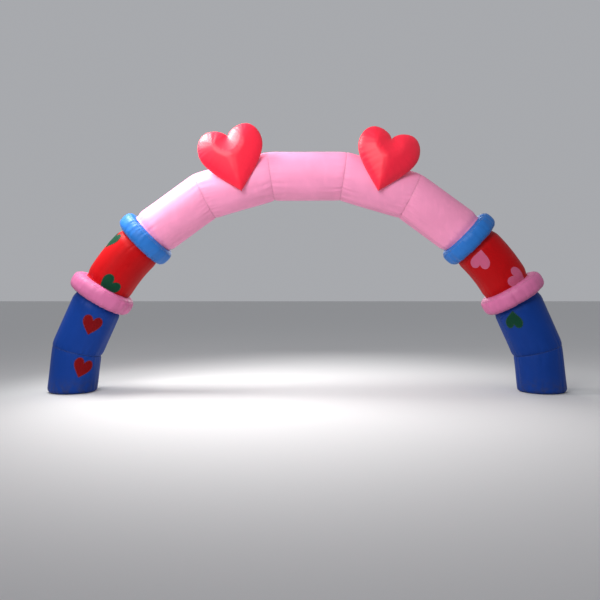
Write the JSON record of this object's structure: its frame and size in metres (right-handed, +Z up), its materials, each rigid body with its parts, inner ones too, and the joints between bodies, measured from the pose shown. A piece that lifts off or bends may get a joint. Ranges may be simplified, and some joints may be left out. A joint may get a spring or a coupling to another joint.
{
  "type": "inflatable arch",
  "caption": "Free-standing air-filled cloth arch with fat collars, puffed hearts on its front and flat heart patches on its legs, to walk through.",
  "frame": {"origin": "on the floor, midway between the two feet and midway from the arch's front to its back", "axes": "+X across the span, towards the foot at the right as seen from the front; +Z up; the front, with the hearts, faces -Y"},
  "size_m": [7.9226, 1.0302, 4.0446],
  "materials": {
    "leg_blue": "coated woven cloth, slight sheen",
    "sleeve_red": "coated woven cloth, slight sheen",
    "arch_pink": "coated woven cloth, slight sheen",
    "collar_pink": "coated woven cloth, slight sheen",
    "collar_blue": "coated woven cloth, slight sheen",
    "heart_red": "coated woven cloth, slight sheen",
    "patch_red": "plain woven cloth",
    "patch_green": "plain woven cloth",
    "patch_pink": "plain woven cloth"
  },
  "bodies": {
    "root": {"leg_foot_left": "leg_blue", "leg_foot_right": "leg_blue", "leg_upper_left": "leg_blue", "leg_upper_right": "leg_blue", "collar_pink_left": "collar_pink", "collar_pink_right": "collar_pink", "sleeve_left": "sleeve_red", "sleeve_right": "sleeve_red", "collar_blue_left": "collar_blue", "collar_blue_right": "collar_blue", "arch_outer_left": "arch_pink", "arch_outer_right": "arch_pink", "arch_inner_left": "arch_pink", "arch_inner_right": "arch_pink", "arch_crown": "arch_pink", "heart_left": "heart_red", "heart_right": "heart_red", "patch_foot_left": "patch_red", "patch_leg_left": "patch_red", "patch_sleeve_low_left": "patch_green", "patch_sleeve_high_left": "patch_green", "patch_leg_right": "patch_green", "patch_sleeve_low_right": "patch_pink", "patch_sleeve_high_right": "patch_pink"}
  },
  "joints": []
}
